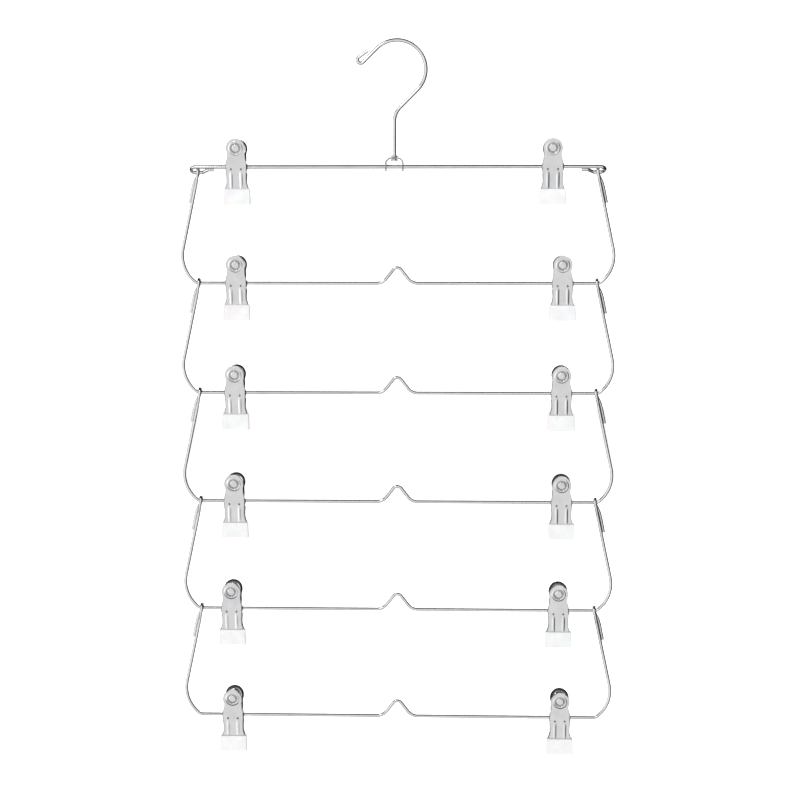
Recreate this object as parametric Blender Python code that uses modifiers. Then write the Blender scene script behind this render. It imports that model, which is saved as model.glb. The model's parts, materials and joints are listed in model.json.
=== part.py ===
"""Six-row folding clip hanger: a swivelling wire hook, a saddle bracket and top bar, five wire tier
frames hung one below another on hairpin eyelets, and two sprung clips on every bar.

Metres, +Z up. The front faces -Y. The origin is on the inside top of the hook, where a rail bears.
"""
import math

import bmesh
import bpy
from mathutils import Matrix, Vector

# ---------------------------------------------------------------- driving dimensions
HOOK_WIRE = 0.0028            # wire diameters
BAR_WIRE = 0.0028
TIER_WIRE = 0.0024
RUNNING_GAP = 0.00035         # play of a wire in its eyelet, or of the stem in the saddle

HOOK_INSIDE = 0.0193          # inside radius of the hook's round
HOOK_TO_BAR = 0.0885          # rail seat down to the top bar's axis
HOOK_TAIL = 0.0135            # straight run from the round to the folded tip
HOOK_TIP_RADIUS = 0.0024      # centre line of the folded tip
HOOK_TIP_TURN = 190           # degrees
HOOK_TIP_RETURN = 0.0080
STEM_X = -0.0018              # the stem stands a little to one side of the rail seat
STEM_BEND_RADIUS = 0.0140
STEM_HEAD_RADIUS = 0.0025     # upset head and collar that trap the saddle's plate
STEM_HEAD_HEIGHT = 0.0011

SADDLE_WIDTH = 0.0132         # over the two legs
SADDLE_DEPTH = 0.0064
SADDLE_SHEET = 0.0010
SADDLE_SHOULDER = 0.0026      # slant at each upper corner
SADDLE_TOP = 0.0066           # upper face above the bar's axis
SADDLE_FOOT = 0.0032          # feet below the bar's axis

PIVOT_X = 0.1440              # half the distance between the two eyelets of a tier
FRAME_DROP = 0.0798           # eyelet axis down to the bar of the same tier
SEAT_RISE = 0.0001            # eyelet seat above the axis of the bar that carries it
BELLY_OUT = 0.0146            # beyond the eyelet, where the side's and corner's straight lines would meet
BELLY_RISE = 0.0105
BELLY_RADIUS = 0.0240
CORNER_OUT = 0.0018           # beyond the eyelet, where the bar turns up into the corner
CORNER_RADIUS = 0.0050
PEAK_HEIGHT = 0.0134          # of the centre peak's straight lines, before rounding
PEAK_HALF_BASE = 0.0105
PEAK_TIP_RADIUS = 0.0035
PEAK_FOOT_RADIUS = 0.0090

HAIRPIN_REACH = 0.0220        # free end of the hairpin below its eyelet
HAIRPIN_JOIN = 0.0090         # where the two legs have come side by side
HAIRPIN_CROSS = 0.0038        # where the legs leave the loop for the side wire
FREE_LEG_SWING = 46            # degrees; the free leg lies outside the side wire and this far round behind it
CROSS_SPREAD = 0.75           # how far they still stand apart there, as a share of the loop's radius

EYE_LEAN = 55                 # degrees; the folded ends lean back from straight down
EYE_LEVEL = 0.0030            # from the eyelet to where the bar's return run starts to rise
EYE_SHUT = 0.0078             # to where it meets the bar again
EYE_TAIL = 0.0118             # and to its end
EYE_BEND = 0.0032

EAR_WALL = 0.00145            # metal round each ear's hole
SHEET = 0.0008                # clip sheet metal
SHEET_CLEAR = 0.0006          # between the ears' round and the plate
COIL_WIRE = 0.00105
EAR_GAP = 0.0003
CLIP_TOP = 0.0200             # thumb pad's top above the bar's axis
PAD_RADIUS = 0.0070
WAIST_HALF = 0.0067
EAR_HALF = 0.0075             # outside of the front plate's ears
SHANK_HALF = 0.0071
FLARE_HALF = 0.0088
TIP_TOP = 0.0155              # upper edge of the dipped tip below the bar's axis
TIP_BOTTOM = 0.0275
TIP_HALF_TOP = 0.0094
TIP_HALF_BOTTOM = 0.0100
TIP_SKIN = 0.0010             # soft coat on each face of the plate
JAW_GAP = 0.00015             # from the mid plane to each tip's inner face
PAD_STANDOFF = 0.0088         # thumb pad's top ahead of the mid plane
EAR_RISE = 0.0006             # the ears' full width starts this far above their round
EAR_FALL = 0.0018             # and ends this far below it
EAR_RUNOUT = 0.0024           # height over which the edge comes in to the shank
FLARE_START = 0.76            # where the flare begins, as a share of the way down to the tip
COIL_GAP = 0.0003

ROWS = 6
# distance of each clip inwards from the eyelets, left and right, row by row
CLIP_INSET = ((0.0286, 0.0325), (0.0272, 0.0247), (0.0259, 0.0250),
              (0.0249, 0.0244), (0.0223, 0.0261), (0.0227, 0.0245))

# ---------------------------------------------------------------- derived places
BORE = BAR_WIRE / 2 + RUNNING_GAP     # inside radius of everything that turns on a bar
EYE_DROP = BORE + TIER_WIRE + BAR_WIRE / 2 + 3 * RUNNING_GAP     # room for the hairpin under the bar
TOP_BAR_Z = -HOOK_TO_BAR
TIER_Y = EYE_DROP * math.sin(math.radians(EYE_LEAN))      # the tiers hang a little behind the top bar
FIRST_PIVOT_Z = TOP_BAR_Z - EYE_DROP * math.cos(math.radians(EYE_LEAN))
TIER_PITCH = FRAME_DROP - SEAT_RISE
TIP_OFFSET = JAW_GAP + TIP_SKIN + SHEET / 2
EAR_RADIUS = BORE + EAR_WALL
PLATE_STANDOFF = EAR_RADIUS + SHEET_CLEAR + SHEET / 2     # plate ahead of the bar's axis


def pivot_z(row):
    """Height of the eyelet axis that carries a row's frame; row 1 is the top bar."""
    return FIRST_PIVOT_Z - (row - 2) * TIER_PITCH


def bar_z(row):
    return TOP_BAR_Z if row == 1 else pivot_z(row) - FRAME_DROP


def bar_y(row):
    return 0 if row == 1 else TIER_Y


# ---------------------------------------------------------------- scene helpers
def clear_scene():
    for obj in list(bpy.data.objects):
        bpy.data.objects.remove(obj, do_unlink=True)


def collection(name):
    made = bpy.data.collections.new(name)
    bpy.context.scene.collection.children.link(made)
    return made


def material(name, colour, roughness, metallic):
    mat = bpy.data.materials.new(name)
    mat.use_nodes = True
    shader = mat.node_tree.nodes["Principled BSDF"]
    shader.inputs["Base Color"].default_value = (*colour, 1.0)
    shader.inputs["Roughness"].default_value = roughness
    shader.inputs["Metallic"].default_value = metallic
    return mat


def place(mesh, name, group, mat, location=(0, 0, 0), parent=None):
    obj = bpy.data.objects.new(name, mesh)
    obj.location = location
    obj.parent = parent
    if not mesh.materials:
        mesh.materials.append(mat)
    group.objects.link(obj)
    return obj


def pivot(name, location, parent, group):
    """An empty on a joint's axis, placed in its parent's space."""
    empty = bpy.data.objects.new(name, None)
    empty.empty_display_size = 0.01
    empty.location = location
    empty.parent = parent
    group.objects.link(empty)
    return empty


# ---------------------------------------------------------------- wire paths
def rounded(points, radii, steps=4):
    """A line through points whose inner corners are arcs of the given radii."""
    path = [Vector(points[0])]
    for before, corner, after, radius in zip(points, points[1:], points[2:], radii):
        corner = Vector(corner)
        back = (Vector(before) - corner).normalized()
        ahead = (Vector(after) - corner).normalized()
        half = back.angle(ahead) / 2
        centre = corner + (back + ahead).normalized() * (radius / math.sin(half))
        start = corner + back * (radius / math.tan(half)) - centre
        turn = math.pi - 2 * half
        axis = start.cross(corner - centre).normalized()
        count = max(2, math.ceil(steps * turn / (math.pi / 2)))
        path += [centre + Matrix.Rotation(turn * i / count, 3, axis) @ start for i in range(count + 1)]
    return path + [Vector(points[-1])]


def smooth(points, steps=3):
    """Catmull-Rom curve through points."""
    points = [Vector(p) for p in points]
    ends = [2 * points[0] - points[1]] + points + [2 * points[-1] - points[-2]]
    path = []
    for a, b, c, d in zip(ends, ends[1:], ends[2:], ends[3:]):
        for i in range(steps):
            t = i / steps
            path.append(0.5 * (2 * b + (c - a) * t + (2 * a - 5 * b + 4 * c - d) * t ** 2
                               + (3 * b - a - 3 * c + d) * t ** 3))
    return path + [points[-1]]


def wire_mesh(name, path, diameter, radii=None):
    """A closed wire along a path, eight-sided; radii are factors on its radius, point by point."""
    curve = bpy.data.curves.new(name, "CURVE")
    curve.dimensions = "3D"
    curve.bevel_depth = diameter / 2
    curve.bevel_resolution = 2
    curve.use_fill_caps = True
    spline = curve.splines.new("POLY")
    spline.points.add(len(path) - 1)
    for i, (point, co) in enumerate(zip(spline.points, path)):
        point.co = (*co, 1.0)
        point.radius = radii[i] if radii else 1.0
    return weld(name, curve)


def weld(name, curve):
    """The mesh of a curve, with its loose caps joined on."""
    holder = bpy.data.objects.new(name + "_path", curve)
    bpy.context.scene.collection.objects.link(holder)
    bpy.context.view_layer.update()
    mesh = bpy.data.meshes.new_from_object(holder.evaluated_get(bpy.context.evaluated_depsgraph_get()))
    mesh.name = name
    bpy.data.objects.remove(holder)
    shape = bmesh.new()
    shape.from_mesh(mesh)
    bmesh.ops.remove_doubles(shape, verts=shape.verts, dist=0.00001)
    bmesh.ops.recalc_face_normals(shape, faces=shape.faces)
    shape.to_mesh(mesh)
    shape.free()
    mesh.shade_smooth()
    mesh.set_sharp_from_angle(angle=math.radians(50))
    return mesh


def outline_mesh(name, outlines, thickness):
    """A flat sheet in its own XY plane from closed outlines, the second and later ones being holes."""
    curve = bpy.data.curves.new(name, "CURVE")
    curve.dimensions = "2D"
    curve.fill_mode = "BOTH"
    curve.extrude = thickness / 2
    for outline in outlines:
        spline = curve.splines.new("POLY")
        spline.points.add(len(outline) - 1)
        for point, (x, y) in zip(spline.points, outline):
            point.co = (x, y, 0, 1)
        spline.use_cyclic_u = True
    return weld(name, curve)


def ring_points(radius, count, start=0.0, end=360.0, centre=(0, 0)):
    """Points round a circle, or along an arc from start to end, in degrees."""
    closed = abs(end - start) >= 360
    last = count if closed else count - 1
    angles = [math.radians(start + (end - start) * i / last) for i in range(count)]
    return [(centre[0] + radius * math.cos(a), centre[1] + radius * math.sin(a)) for a in angles]


# ---------------------------------------------------------------- hook
def hook_mesh():
    """Question-mark wire. Its foot passes the saddle's plate between an upset head and a collar."""
    radius = HOOK_INSIDE + HOOK_WIRE / 2
    centre = Vector((0, 0, -HOOK_INSIDE))
    under_plate = TOP_BAR_Z + SADDLE_TOP - SADDLE_SHEET - RUNNING_GAP
    over_plate = TOP_BAR_Z + SADDLE_TOP + RUNNING_GAP
    step = 0.00005
    wide = STEM_HEAD_RADIUS / (HOOK_WIRE / 2)
    foot = [(under_plate - STEM_HEAD_HEIGHT, wide), (under_plate, wide), (under_plate + step, 1.0),
            (over_plate - step, 1.0), (over_plate, wide), (over_plate + STEM_HEAD_HEIGHT, wide),
            (over_plate + STEM_HEAD_HEIGHT + step, 1.0)]
    path = [Vector((STEM_X, 0, z)) for z, _ in foot]
    radii = [factor for _, factor in foot]

    # the slanting neck touches the round at 45 degrees below its right side
    reach = radius * math.sqrt(0.5)
    elbow = Vector((STEM_X, 0, centre.z - reach - (reach - STEM_X)))
    neck = rounded([path[-1], elbow, centre + Vector((reach, 0, -reach))], [STEM_BEND_RADIUS])
    turns = [math.radians(-45 + 180 * i / 16) for i in range(17)]
    bow = [centre + radius * Vector((math.cos(a), 0, math.sin(a))) for a in turns]
    down = Vector((-1, 0, -1)).normalized()
    side = Vector((-1, 0, 1)).normalized()
    tail = bow[-1] + HOOK_TAIL * down
    tip_centre = tail + HOOK_TIP_RADIUS * side
    tip = []
    for i in range(9):
        turn = Matrix.Rotation(math.radians(HOOK_TIP_TURN * i / 8), 3, "Y")
        tip.append(tip_centre + turn @ (tail - tip_centre))
    heading = Matrix.Rotation(math.radians(HOOK_TIP_TURN), 3, "Y") @ down
    path += neck[1:-1] + bow + tip + [tip[-1] + HOOK_TIP_RETURN * heading]
    radii += [1.0] * (len(path) - len(radii))
    return wire_mesh("hook", path, HOOK_WIRE, radii)


# ---------------------------------------------------------------- saddle and top bar
def saddle_mesh(cutters):
    """Bent strip over the bar: a plate for the stem, slanting shoulders and two legs bored for the bar."""
    half = SADDLE_WIDTH / 2
    shoulder = SADDLE_TOP - SADDLE_SHOULDER
    outer = [(-half, -SADDLE_FOOT), (-half, shoulder), (-half + SADDLE_SHOULDER, SADDLE_TOP),
             (half - SADDLE_SHOULDER, SADDLE_TOP), (half, shoulder), (half, -SADDLE_FOOT)]
    inset = SADDLE_SHEET
    slant = inset * math.tan(math.radians(22.5))
    inner = [(half - inset, -SADDLE_FOOT), (half - inset, shoulder - slant),
             (half - SADDLE_SHOULDER - slant, SADDLE_TOP - inset),
             (-half + SADDLE_SHOULDER + slant, SADDLE_TOP - inset),
             (-half + inset, shoulder - slant), (-half + inset, -SADDLE_FOOT)]
    mesh = outline_mesh("saddle", [outer + inner], SADDLE_DEPTH)
    mesh.transform(Matrix.Rotation(math.radians(90), 4, "X"))
    body = place(mesh, "saddle_blank", cutters, None)
    stem_hole = cylinder("saddle_stem_hole", HOOK_WIRE / 2 + RUNNING_GAP, 0.004, "Z", cutters)
    stem_hole.location = (0, 0, SADDLE_TOP)
    bar_hole = cylinder("saddle_bar_hole", BAR_WIRE / 2 + RUNNING_GAP, 2 * SADDLE_WIDTH, "X", cutters)
    return carve(body, "saddle", [(stem_hole, "DIFFERENCE"), (bar_hole, "DIFFERENCE")])


def top_bar_mesh():
    """Straight bar whose ends fold back under it, leaving an eye at each end for the first tier."""
    bend = EYE_DROP / 2
    half = []
    end_x = PIVOT_X + TIER_WIRE / 2 + RUNNING_GAP
    for i in range(9):
        angle = math.radians(90 - 180 * i / 8)
        half.append(Vector((end_x + bend * math.cos(angle), 0, -bend + bend * math.sin(angle))))
    # the return run stays level under the eyelet, then closes up against the bar
    shut = -(BAR_WIRE + RUNNING_GAP)
    half += rounded([half.pop(), (PIVOT_X - EYE_LEVEL, 0, -EYE_DROP), (PIVOT_X - EYE_SHUT, 0, shut),
                     (PIVOT_X - EYE_TAIL, 0, shut)], [EYE_BEND, EYE_BEND], steps=8)
    lean = Matrix.Rotation(math.radians(EYE_LEAN), 3, "X")
    half = [lean @ p for p in half]
    left = [Vector((-p.x, p.y, p.z)) for p in reversed(half)]
    return wire_mesh("top_bar", left + half, BAR_WIRE)


# ---------------------------------------------------------------- tier frame
def hairpin(side_top):
    """Right-hand hairpin from the side wire's top: over the eyelet axis and down beside and behind it."""
    loop = BORE + TIER_WIRE / 2
    slant = (side_top.x - PIVOT_X) / -side_top.z
    apart = TIER_WIRE + RUNNING_GAP
    outside = apart * math.cos(math.radians(FREE_LEG_SWING))
    behind = apart * math.sin(math.radians(FREE_LEG_SWING))
    share = HAIRPIN_CROSS / HAIRPIN_JOIN
    spread = loop * CROSS_SPREAD
    crook = []
    for i in range(7):
        angle = math.radians(180 - 180 * i / 6)
        crook.append(Vector((PIVOT_X, loop * math.cos(angle), loop * math.sin(angle))))
    lead_in = [side_top, Vector((PIVOT_X + slant * HAIRPIN_CROSS, -spread, -HAIRPIN_CROSS))]
    lead_out = [Vector((PIVOT_X + slant * HAIRPIN_CROSS + outside * share, spread, -HAIRPIN_CROSS)),
                Vector((PIVOT_X + slant * HAIRPIN_JOIN + outside, behind, -HAIRPIN_JOIN)),
                Vector((PIVOT_X + slant * HAIRPIN_REACH + outside, behind, -HAIRPIN_REACH))]
    return smooth(lead_in + crook[:1], 2)[:-1] + crook + smooth(crook[-1:] + lead_out, 2)[1:]


def frame_mesh():
    """One wire: centre peak, bar, rounded corners, slanting sides and a hairpin eyelet on each side.

    Its own origin is on the eyelet axis, midway between the eyelets.
    """
    low = -FRAME_DROP
    belly = Vector((PIVOT_X + BELLY_OUT, 0, low + BELLY_RISE))
    slope = BELLY_OUT / (FRAME_DROP - BELLY_RISE)
    side_top = Vector((PIVOT_X + slope * HAIRPIN_JOIN, 0, -HAIRPIN_JOIN))
    line = [Vector((-PEAK_HALF_BASE, 0, low)), Vector((0, 0, low + PEAK_HEIGHT)),
            Vector((PEAK_HALF_BASE, 0, low)), Vector((PIVOT_X + CORNER_OUT, 0, low)), belly, side_top]
    radii = [PEAK_TIP_RADIUS, PEAK_FOOT_RADIUS, CORNER_RADIUS, BELLY_RADIUS]
    wire = rounded(line, radii, steps=6)[1:-1]
    right = [p for p in wire if p.x > 0.00001] + hairpin(side_top)
    left = [Vector((-p.x, p.y, p.z)) for p in reversed(right)]
    tip = [p for p in wire if abs(p.x) <= 0.00001]
    return wire_mesh("tier_frame", left + tip + right, TIER_WIRE)


# ---------------------------------------------------------------- clip
def cylinder(name, radius, depth, along, group, sides=12):
    shape = bmesh.new()
    bmesh.ops.create_cone(shape, cap_ends=True, segments=sides, radius1=radius, radius2=radius, depth=depth)
    turn = {"X": Matrix.Rotation(math.radians(90), 3, "Y"), "Z": Matrix.Identity(3)}[along]
    bmesh.ops.transform(shape, matrix=turn.to_4x4(), verts=shape.verts)
    mesh = bpy.data.meshes.new(name)
    shape.to_mesh(mesh)
    shape.free()
    obj = place(mesh, name, group, None)
    obj.hide_render = True
    obj.display_type = "WIRE"
    return obj


def carve(body, name, tools):
    """The mesh of body after exact Booleans with the tools; body and tools are removed."""
    for tool, operation in tools:
        modifier = body.modifiers.new(tool.name, "BOOLEAN")
        modifier.operation = operation
        modifier.solver = "EXACT"
        modifier.object = tool
    bpy.context.view_layer.update()
    mesh = bpy.data.meshes.new_from_object(body.evaluated_get(bpy.context.evaluated_depsgraph_get()))
    mesh.name = name
    for obj in [body] + [tool for tool, _ in tools]:
        bpy.data.objects.remove(obj)
    mesh.materials.clear()
    shape = bmesh.new()
    shape.from_mesh(mesh)
    bmesh.ops.remove_doubles(shape, verts=shape.verts, dist=0.00001)
    bmesh.ops.dissolve_limit(shape, angle_limit=math.radians(0.5), verts=shape.verts, edges=shape.edges)
    bmesh.ops.triangulate(shape, faces=shape.faces)
    shape.to_mesh(mesh)
    shape.free()
    mesh.shade_smooth()
    mesh.set_sharp_from_angle(angle=math.radians(35))
    return mesh


def clip_profile():
    """Height, half width and standoff of the plate's rows, from the thumb pad's top to the jaw's end."""
    pad_z = CLIP_TOP - PAD_RADIUS
    rows = []
    for angle in (78, 50, 25, 0, -27):
        a = math.radians(angle)
        rows.append((pad_z + PAD_RADIUS * math.sin(a), PAD_RADIUS * math.cos(a)))
    rows[-1] = (rows[-1][0], WAIST_HALF)
    rows += [(EAR_RADIUS + EAR_RISE, EAR_HALF), (-EAR_RADIUS - EAR_FALL, EAR_HALF),
             (-EAR_RADIUS - EAR_FALL - EAR_RUNOUT, SHANK_HALF), (-TIP_TOP * FLARE_START, SHANK_HALF),
             (-TIP_TOP, FLARE_HALF), (-TIP_BOTTOM + TIP_SKIN, FLARE_HALF)]
    profile = []
    for z, half in rows:
        if z > EAR_RADIUS:
            t = (z - EAR_RADIUS) / (CLIP_TOP - EAR_RADIUS)
            standoff = PLATE_STANDOFF + (PAD_STANDOFF - PLATE_STANDOFF) * t
        elif z > -EAR_RADIUS:
            standoff = PLATE_STANDOFF
        else:
            t = min(1.0, (-EAR_RADIUS - z) / (TIP_TOP - EAR_RADIUS))
            standoff = PLATE_STANDOFF + (TIP_OFFSET - PLATE_STANDOFF) * t
        profile.append((z, half, standoff))
    return profile


def plate_object(cutters):
    """The clip's sheet-metal plate, bent in profile, ahead of the bar."""
    profile = clip_profile()
    shape = bmesh.new()
    bmesh.ops.create_grid(shape, x_segments=2, y_segments=len(profile) - 1, size=1)
    for vert in shape.verts:
        row = round((1 - vert.co.y) / 2 * (len(profile) - 1))
        z, half, standoff = profile[row]
        vert.co = (vert.co.x * half, -standoff, z)
    bmesh.ops.recalc_face_normals(shape, faces=shape.faces)
    mesh = bpy.data.meshes.new("plate")
    shape.to_mesh(mesh)
    shape.free()
    plate = place(mesh, "plate", cutters, None)
    wall = plate.modifiers.new("wall", "SOLIDIFY")
    wall.thickness = SHEET
    wall.offset = 0
    return plate


def ear_object(name, outer_x, cutters):
    """A lug bent back from the plate's edge, round about the bar, with the bar's hole."""
    web = PLATE_STANDOFF
    outline = ring_points(EAR_RADIUS, 9, -90, 90) + [(-web, EAR_RADIUS), (-web, -EAR_RADIUS)]
    mesh = outline_mesh(name, [outline, ring_points(BORE, 12, 15, 375)], SHEET)
    # the sheet's own X runs back from the plate, its own Y is up
    mesh.transform(Matrix.Rotation(math.radians(90), 4, "Z") @ Matrix.Rotation(math.radians(90), 4, "X"))
    ear = place(mesh, name, cutters, None)
    ear.location = (outer_x, 0, 0)
    return ear


def tip_object(cutters):
    """The dipped tip: a soft coat all round the plate's lower end."""
    shape = bmesh.new()
    bmesh.ops.create_cube(shape, size=1)
    for vert in shape.verts:
        low = vert.co.z < 0
        half = TIP_HALF_BOTTOM if low else TIP_HALF_TOP
        depth = SHEET / 2 + TIP_SKIN
        vert.co = (math.copysign(half, vert.co.x), -TIP_OFFSET + math.copysign(depth, vert.co.y),
                   -TIP_BOTTOM if low else -TIP_TOP)
    upright = [e for e in shape.edges if abs(e.verts[0].co.z - e.verts[1].co.z) > 0.001]
    bmesh.ops.bevel(shape, geom=upright, offset=TIP_SKIN * 0.7, segments=1, affect="EDGES")
    mesh = bpy.data.meshes.new("tip")
    shape.to_mesh(mesh)
    shape.free()
    return place(mesh, "tip", cutters, None)


def jaw_mesh(name, ear_outside, cutters):
    """Front-facing jaw: plate, two ears and the dipped tip, joined; its origin is on the bar's axis."""
    centre_x = ear_outside - SHEET / 2
    ears = [(ear_object("ear", side * centre_x, cutters), "UNION") for side in (-1, 1)]
    return carve(plate_object(cutters), name, ears + [(tip_object(cutters), "UNION")])


def coil_mesh():
    """Envelope of the spring's coil: a sleeve round the bar, between the inner ears."""
    half = EAR_HALF - 2 * SHEET - EAR_GAP - COIL_GAP
    shape = bmesh.new()
    corners = [(-half, BORE), (half, BORE), (half, BORE + COIL_WIRE), (-half, BORE + COIL_WIRE)]
    loop = [shape.verts.new((x, 0, z)) for x, z in corners]
    edges = [shape.edges.new((loop[i], loop[(i + 1) % 4])) for i in range(4)]
    bmesh.ops.spin(shape, geom=loop + edges, axis=(1, 0, 0), cent=(0, 0, 0), angle=2 * math.pi,
                   steps=12, use_merge=True)
    bmesh.ops.remove_doubles(shape, verts=shape.verts, dist=0.00001)
    bmesh.ops.recalc_face_normals(shape, faces=shape.faces)
    mesh = bpy.data.meshes.new("coil")
    shape.to_mesh(mesh)
    shape.free()
    mesh.shade_smooth()
    mesh.set_sharp_from_angle(angle=math.radians(35))
    return mesh


def mirrored(mesh, name):
    """A copy turned half round about the vertical, for the rear."""
    copy = mesh.copy()
    copy.name = name
    copy.transform(Matrix.Rotation(math.pi, 4, "Z"))
    return copy


# ---------------------------------------------------------------- assembly
def build():
    clear_scene()
    parts = collection("folding_clip_hanger")
    cutters = collection("cutters")
    chrome = material("bright_chrome_wire", (0.80, 0.80, 0.81), 0.16, 1.0)
    sheet = material("chromed_clip_sheet", (0.74, 0.74, 0.75), 0.24, 1.0)
    zinc = material("spring_wire", (0.62, 0.62, 0.64), 0.30, 1.0)

    place(hook_mesh(), "hook", parts, chrome)
    swivel = pivot("swivel_axis", (STEM_X, 0, 0), None, parts)
    place(saddle_mesh(cutters), "saddle", parts, sheet, (0, 0, TOP_BAR_Z), swivel)
    place(top_bar_mesh(), "top_bar", parts, chrome, (-STEM_X, 0, TOP_BAR_Z), swivel)

    frame = frame_mesh()
    front = jaw_mesh("front_jaw", EAR_HALF, cutters)
    rear = mirrored(jaw_mesh("rear_jaw", EAR_HALF - SHEET - EAR_GAP, cutters), "rear_jaw_turned")
    coil = coil_mesh()
    carrier = swivel
    at = Vector((STEM_X, 0, 0))
    for row in range(1, ROWS + 1):
        if row > 1:
            here = Vector((0, TIER_Y, pivot_z(row)))
            carrier = pivot(f"row{row}_fold_axis", here - at, carrier, parts)
            at = here
            place(frame, f"frame_row{row}", parts, chrome, (0, 0, 0), carrier)
        for side, name, inset in zip((-1, 1), ("left", "right"), CLIP_INSET[row - 1]):
            spot = Vector((side * (PIVOT_X - inset), bar_y(row), bar_z(row)))
            clip = pivot(f"clip_{row}_{name}_axis", spot - at, carrier, parts)
            place(coil, f"clip_{row}_{name}_spring", parts, zinc, (0, 0, 0), clip)
            place(rear, f"clip_{row}_{name}_rear_jaw", parts, sheet, (0, 0, 0), clip)
            place(front, f"clip_{row}_{name}_front_jaw", parts, sheet, (0, 0, 0), clip)
    bpy.context.view_layer.update()


build()
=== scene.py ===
"""Looks for the folding clip hanger: drawn and plated wires, pressed spring clips with dipped soft tips.

Every finished piece stands at its place in its own mesh and rides on the body it moves with.
"""
import json
import math

import bmesh
import bpy
from mathutils import Matrix, Vector


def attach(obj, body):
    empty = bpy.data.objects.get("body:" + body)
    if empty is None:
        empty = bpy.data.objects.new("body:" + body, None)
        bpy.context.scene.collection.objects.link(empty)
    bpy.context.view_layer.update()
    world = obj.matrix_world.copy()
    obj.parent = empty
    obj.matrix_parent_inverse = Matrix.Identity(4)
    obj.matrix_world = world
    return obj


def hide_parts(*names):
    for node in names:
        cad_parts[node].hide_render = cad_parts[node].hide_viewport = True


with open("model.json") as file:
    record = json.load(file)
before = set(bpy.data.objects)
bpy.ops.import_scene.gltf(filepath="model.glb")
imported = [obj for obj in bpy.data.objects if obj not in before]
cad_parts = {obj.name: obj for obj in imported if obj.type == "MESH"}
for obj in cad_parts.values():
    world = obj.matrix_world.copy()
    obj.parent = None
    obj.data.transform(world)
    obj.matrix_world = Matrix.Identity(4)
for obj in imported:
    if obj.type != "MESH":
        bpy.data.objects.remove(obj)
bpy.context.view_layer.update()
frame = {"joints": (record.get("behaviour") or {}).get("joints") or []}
joints = {joint["name"]: joint for joint in frame["joints"]}

# ---------------------------------------------------------------- sizes, in metres
HOOK_WIRE = 0.0028
BAR_WIRE = 0.0028
TIER_WIRE = 0.0024
PLAY = 0.00035
HOOK_INSIDE = 0.0193
HOOK_TAIL = 0.0135
HOOK_TIP_RADIUS = 0.0024
HOOK_TIP_TURN = 190          # degrees
HOOK_TIP_RETURN = 0.0080
STEM_BEND = 0.0140
HEAD_RADIUS = 0.0025
HEAD_HEIGHT = 0.0011
HEAD_RIM, HEAD_CROWN = 0.18, 0.28         # widths of the two rings on a head's face, in head radii
HEAD_CROWN_RISE, HEAD_EDGE = 0.00008, 0.00030
SADDLE_WIDTH = 0.0132
SADDLE_DEPTH = 0.0064
SADDLE_SHEET = 0.0010
SADDLE_SHOULDER = 0.0026
SADDLE_TOP = 0.0066
SADDLE_FOOT = 0.0032
SADDLE_BEND, SADDLE_CORNER, SADDLE_BURR = 0.0009, 0.0012, 0.00012
PIVOT_X = 0.1440
FRAME_DROP = 0.0798
BELLY_OUT, BELLY_RISE, BELLY_RADIUS = 0.0146, 0.0105, 0.0240
CORNER_OUT, CORNER_RADIUS = 0.0018, 0.0050
PEAK_HEIGHT, PEAK_HALF_BASE = 0.0134, 0.0105
PEAK_TIP_RADIUS, PEAK_FOOT_RADIUS = 0.0035, 0.0090
HAIRPIN_REACH, HAIRPIN_JOIN, HAIRPIN_CROSS = 0.0220, 0.0090, 0.0038
CROSS_SPREAD = 0.75
FREE_LEG_SWING = 46          # degrees; the free leg lies this far round behind the side wire
EYE_LEVEL, EYE_SHUT, EYE_TAIL, EYE_BEND = 0.0030, 0.0078, 0.0118, 0.0032
BORE = BAR_WIRE / 2 + PLAY
EYE_DROP = BORE + TIER_WIRE + BAR_WIRE / 2 + 3 * PLAY
EYE_LEAN = 55                # degrees back from straight down
BOW_STEP, EYE_STEP, CROOK_STEP, CORNER_STEP = 4, 5, 10, 5      # degrees between points on round wire
HOOK_TIP_STEPS = 24

SHEET = 0.0008
EAR_RADIUS = BORE + 0.00145
PLATE_STANDOFF = EAR_RADIUS + 0.0006 + SHEET / 2
PAD_RADIUS = 0.0070
PAD_Z = 0.0130
PAD_STANDOFF = 0.0088
CLIP_TOP = PAD_Z + PAD_RADIUS
EAR_HALF = 0.0075
EAR_GAP = 0.0003
TIP_TOP, TIP_BOTTOM = 0.0155, 0.0275
TIP_SKIN = 0.0010
JAW_GAP = 0.00015
TIP_OFFSET = JAW_GAP + TIP_SKIN + SHEET / 2
HOLE_X, HOLE_Z = 0.0036, -0.0019
COIL_WIRE, COIL_HALF, COIL_TURNS = 0.00105, 0.0047, 8.5
LEG_WIRE = 0.0009
FRONT_LEG_START, REAR_LEG_START = 0.0048, HOLE_X   # across the bar, so the legs pass each other
LEG_SAG_Y, LEG_SAG_Z = -0.0018, -0.0027
LEG_NEAR, LEG_END, LEG_DIP = 0.0015, 0.0009, 0.0001   # how far behind the plate a leg turns up, and ends

NEAR = 0.00001               # places closer than this are the same


# ---------------------------------------------------------------- working helpers
def only(obj):
    """Makes obj the only selected and the active object."""
    bpy.ops.object.select_all(action="DESELECT")
    obj.select_set(True)
    bpy.context.view_layer.objects.active = obj
    return obj


def start_edit(obj):
    only(obj)
    bpy.ops.object.mode_set(mode="EDIT")
    bpy.ops.mesh.select_all(action="DESELECT")


def end_edit():
    bpy.ops.object.mode_set(mode="OBJECT")


def pick(obj, kind, test):
    """In edit mode, selects only the verts, edges or faces of which test is true."""
    modes = {"verts": "VERT", "edges": "EDGE", "faces": "FACE"}
    bpy.ops.mesh.select_mode(type=modes[kind])
    bpy.ops.mesh.select_all(action="DESELECT")
    shape = bmesh.from_edit_mesh(obj.data)
    for item in getattr(shape, kind):
        if test(item):
            item.select_set(True)
    shape.select_flush_mode()
    bmesh.update_edit_mesh(obj.data)


def middle(edge):
    return (edge.verts[0].co + edge.verts[1].co) / 2


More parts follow.
